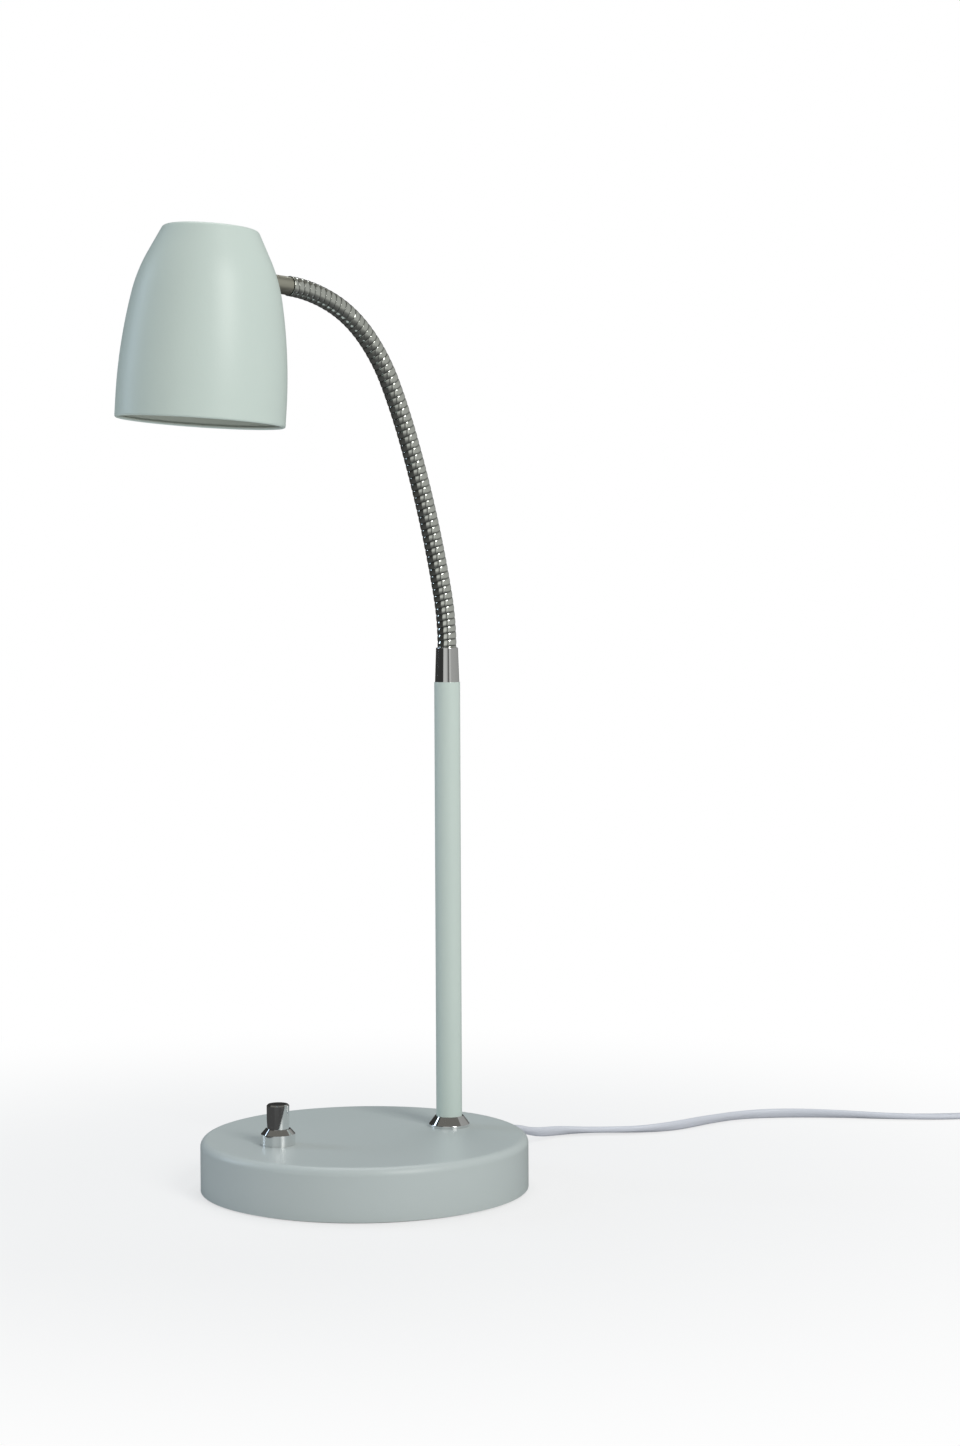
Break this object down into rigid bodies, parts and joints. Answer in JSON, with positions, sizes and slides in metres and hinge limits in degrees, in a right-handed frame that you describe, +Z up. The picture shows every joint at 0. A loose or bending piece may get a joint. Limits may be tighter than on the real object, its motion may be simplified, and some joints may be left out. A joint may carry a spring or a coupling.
{
  "type": "gooseneck desk lamp",
  "caption": "Desk lamp with a weighted round base, push-and-turn dimmer knob, straight pole, flexible gooseneck and bell-shaped spot shade on a mains cord.",
  "frame": {"origin": "centre of the foot pad's underside, which is the centre of the round base", "axes": "+Z up, +X from the base's centre to the foot of the pole; the dimmer knob stands at -X and the neck carries the shade back over the base towards -X"},
  "size_m": [0.6271, 0.1799, 0.4283],
  "materials": {
    "mint_paint": "satin powder coat with a very fine grain",
    "chrome": "polished",
    "satin_steel": "satin",
    "zinc_steel": "zinc plated",
    "cast_iron": "rough, dark",
    "black_pad": "matt foam",
    "white_plastic": "smooth satin",
    "brass": "nickel plated",
    "dark_plastic": "matt moulded",
    "aluminium": "turned",
    "terminal_plastic": "moulded",
    "ceramic": "unglazed steatite",
    "lamp_body": "satin white",
    "lamp_glass": "frosted front"
  },
  "bodies": {
    "base": {"foot_pad": "black_pad", "bottom_plate": "zinc_steel", "plate_screws": "zinc_steel", "stud_nuts": "zinc_steel", "base_weight": "cast_iron", "base_cover": "mint_paint", "pole_tube": "mint_paint", "pole_flange": "chrome", "pole_insert": "zinc_steel", "threaded_pipe": "zinc_steel", "stiffener_washer": "zinc_steel", "pipe_nut": "zinc_steel", "neck_ferrule": "chrome", "neck_piece_1": "chrome", "dimmer_case": "dark_plastic", "collar_nut": "chrome", "terminal_block": "terminal_plastic", "clamp_base": "dark_plastic", "clamp_bar": "dark_plastic", "clamp_screws": "zinc_steel", "inner_cord": "white_plastic", "strain_relief": "white_plastic", "power_cord": "white_plastic", "cord_coil": "white_plastic", "plug_body": "white_plastic", "plug_pins": "brass"},
    "neck_link_2": {"neck_piece_2": "chrome"},
    "neck_link_3": {"neck_piece_3": "chrome"},
    "neck_link_4": {"neck_piece_4": "chrome"},
    "neck_link_5": {"neck_piece_5": "chrome"},
    "neck_link_6": {"neck_piece_6": "chrome"},
    "neck_link_7": {"neck_piece_7": "chrome"},
    "head": {"neck_piece_8": "chrome", "head_nipple": "satin_steel", "inner_saddle": "satin_steel", "nipple_nut": "zinc_steel", "lamp_bracket": "zinc_steel", "holder_screws": "zinc_steel", "lamp_holder": "ceramic", "reflector_lamp": "lamp_body", "lamp_lens": "lamp_glass", "shade": "mint_paint"},
    "dimmer_push": {"switch_plunger": "dark_plastic"},
    "dimmer_knob": {"knob": "chrome", "dimmer_shaft": "aluminium"}
  },
  "joints": [
    {"name": "neck_bend_1", "type": "hinge", "parent": "base", "child": "neck_link_2", "pos_m": [0.0422, -0.00052, 0.26803], "axis": [0.2756, -0.9613, 0], "range_deg": [-20, 12]},
    {"name": "neck_bend_2", "type": "hinge", "parent": "neck_link_2", "child": "neck_link_3", "pos_m": [0.03657, -0.00213, 0.29238], "axis": [-0.9263, -0.2656, -0.2672], "range_deg": [-14, 14]},
    {"name": "neck_bend_3", "type": "hinge", "parent": "neck_link_3", "child": "neck_link_4", "pos_m": [0.02971, -0.0041, 0.31639], "axis": [0.2756, -0.9613, 0], "range_deg": [-20, 12]},
    {"name": "neck_bend_4", "type": "hinge", "parent": "neck_link_4", "child": "neck_link_5", "pos_m": [0.02167, -0.0064, 0.34], "axis": [-0.8944, -0.2565, -0.3665], "range_deg": [-14, 14]},
    {"name": "neck_bend_5", "type": "hinge", "parent": "neck_link_5", "child": "neck_link_6", "pos_m": [0.0121, -0.00915, 0.36298], "axis": [0.2756, -0.9613, 0], "range_deg": [-20, 12]},
    {"name": "neck_bend_6", "type": "hinge", "parent": "neck_link_6", "child": "neck_link_7", "pos_m": [-0.00108, -0.01293, 0.38386], "axis": [-0.6785, -0.1946, -0.7083], "range_deg": [-14, 14]},
    {"name": "neck_bend_7", "type": "hinge", "parent": "neck_link_7", "child": "head", "pos_m": [-0.0203, -0.01844, 0.39873], "axis": [0.2756, -0.9613, 0], "range_deg": [-20, 12]},
    {"name": "dimmer_press", "type": "slide", "parent": "base", "child": "dimmer_push", "axis": [0, 0, -1], "range_m": [0, 0.0012], "stiffness_N_per_m": 1200, "springref_m": -0.0005},
    {"name": "dimmer_turn", "type": "hinge", "parent": "dimmer_push", "child": "dimmer_knob", "pos_m": [-0.0435, 0, 0.03], "axis": [0, 0, -1], "range_deg": [0, 300]}
  ]
}
